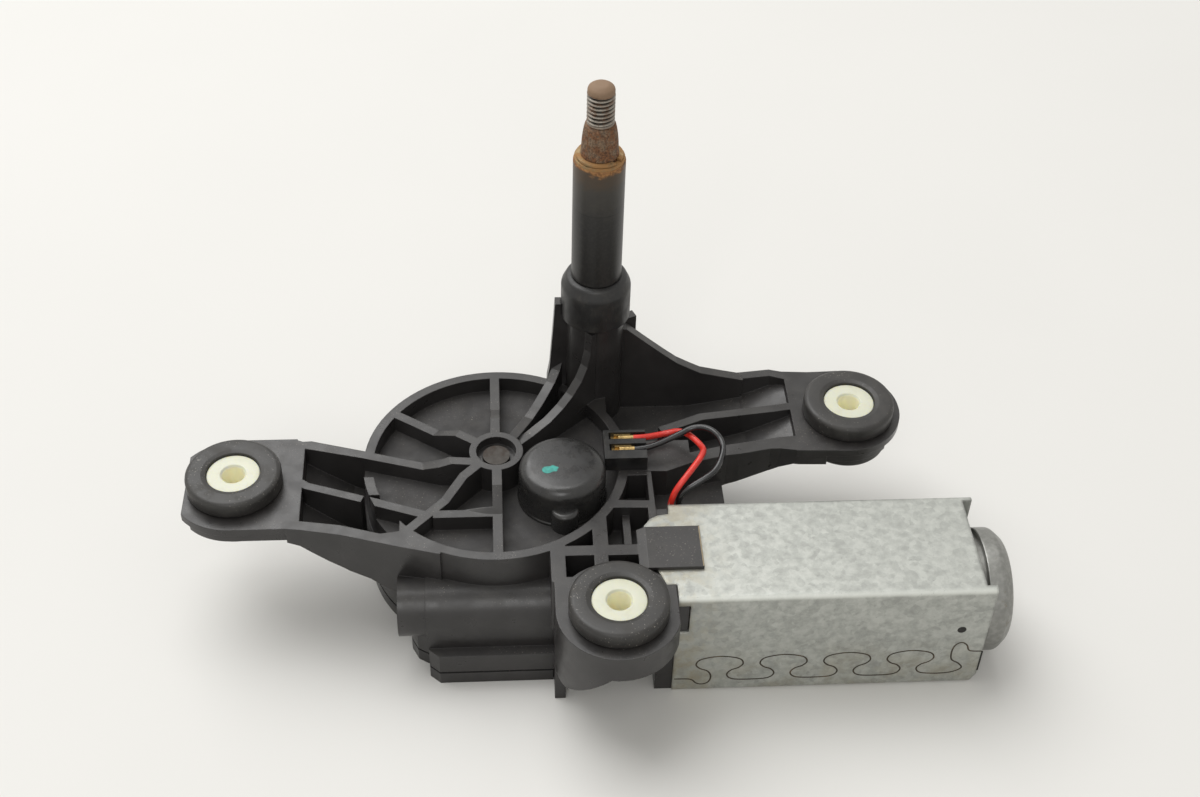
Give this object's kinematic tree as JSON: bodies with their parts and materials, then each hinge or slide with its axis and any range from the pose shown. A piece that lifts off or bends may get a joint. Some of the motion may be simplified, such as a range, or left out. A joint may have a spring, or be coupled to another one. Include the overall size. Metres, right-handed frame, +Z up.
{
  "type": "wiper motor",
  "caption": "Rear wiper motor: ribbed gear housing with grommet lugs, plated motor can, and a tall threaded spindle swung by a worm wheel, crank and sector gear.",
  "frame": {"origin": "axis of the worm wheel where it meets the flat underside of the gear cover", "axes": "+X along the motor towards its can, +Y towards the spindle, +Z up along the spindle"},
  "size_m": [0.2379, 0.1312, 0.149],
  "materials": {
    "housing_plastic": "moulded black glass-filled plastic, satin",
    "grommet_rubber": "matt black rubber",
    "sleeve_nylon": "off-white nylon, slightly soiled",
    "cap_plastic": "dark grey moulded plastic",
    "zinc_plate": "zinc-plated sheet steel with a mottled spangle",
    "spindle_steel": "steel with surface rust on its upper end",
    "tube_steel": "black coated steel, rust-stained near its top",
    "collar_plastic": "black moulded plastic",
    "bush_bronze": "sintered bronze",
    "gear_plastic": "natural acetal",
    "pin_steel": "ground steel",
    "core_steel": "laminated electrical steel",
    "copper": "enamelled copper",
    "magnet_ferrite": "sintered ferrite",
    "carbon": "pressed carbon",
    "terminal_brass": "tinned brass strip, dulled",
    "holder_plastic": "black moulded plastic",
    "red_insulation": "red wire insulation",
    "black_insulation": "black wire insulation",
    "gasket_rubber": "black sealing rubber"
  },
  "bodies": {
    "housing": {"gear_housing": "housing_plastic", "vent_cap": "cap_plastic", "grommet_left": "grommet_rubber", "grommet_right": "grommet_rubber", "grommet_front": "grommet_rubber", "sleeve_left": "sleeve_nylon", "sleeve_right": "sleeve_nylon", "sleeve_front": "sleeve_nylon", "spindle_tube": "tube_steel", "spindle_collar": "collar_plastic", "lower_bush": "bush_bronze", "upper_bush": "bush_bronze", "spindle_washer": "pin_steel", "wheel_axle_pin": "pin_steel", "sector_pivot_pin": "pin_steel", "magnets": "magnet_ferrite", "motor_can": "zinc_plate", "can_end_cap": "zinc_plate", "rear_bearing": "bush_bronze", "front_bearing": "bush_bronze", "thrust_plug": "gear_plastic", "brush_plate": "holder_plastic", "brushes": "carbon", "brush_springs": "terminal_brass", "gear_cover": "housing_plastic", "cover_gasket": "gasket_rubber", "cover_screws": "zinc_plate", "connector_pins": "terminal_brass", "terminal_holder": "holder_plastic", "terminal_feed": "terminal_brass", "terminal_return": "terminal_brass", "red_wire": "red_insulation", "black_wire": "black_insulation"},
    "armature": {"armature_shaft": "pin_steel", "armature_core": "core_steel", "armature_windings": "copper", "commutator": "copper"},
    "wheel": {"worm_wheel": "gear_plastic", "crank_pin": "pin_steel"},
    "sector": {"sector_gear": "pin_steel", "rod_pin": "pin_steel"},
    "rod": {"connecting_rod": "pin_steel"},
    "spindle": {"output_spindle": "spindle_steel", "pinion": "pin_steel", "spindle_circlip": "spindle_steel"}
  },
  "joints": [
    {"name": "armature_spin", "type": "hinge", "parent": "housing", "child": "armature", "pos_m": [0.06, -0.0375, 0.0205], "axis": [1, 0, 0], "continuous": true},
    {"name": "wheel_spin", "type": "hinge", "parent": "housing", "child": "wheel", "pos_m": [0, 0, 0.0205], "axis": [0, 0, 1], "continuous": true},
    {"name": "spindle_swing", "type": "hinge", "parent": "housing", "child": "spindle", "pos_m": [0.03075, 0.03465, 0.07], "axis": [0, 0, 1], "range_deg": [-120, 0]},
    {"name": "sector_swing", "type": "hinge", "parent": "housing", "child": "sector", "pos_m": [0.0282, -0.01028, 0.008], "axis": [0, 0, 1], "range_deg": [0, 34.3]},
    {"name": "rod_pivot", "type": "hinge", "parent": "sector", "child": "rod", "pos_m": [0.01999, 0.01334, 0.0125], "axis": [0, 0, 1], "range_deg": [-38.43, 0]}
  ],
  "couplings": [
    {"joint": "wheel_spin", "follows": "armature_spin", "ratio": -0.016667},
    {"joint": "sector_swing", "follows": "spindle_swing", "ratio": -0.28571},
    {"joint": "rod_pivot", "follows": "spindle_swing", "ratio": 0.31985}
  ]
}
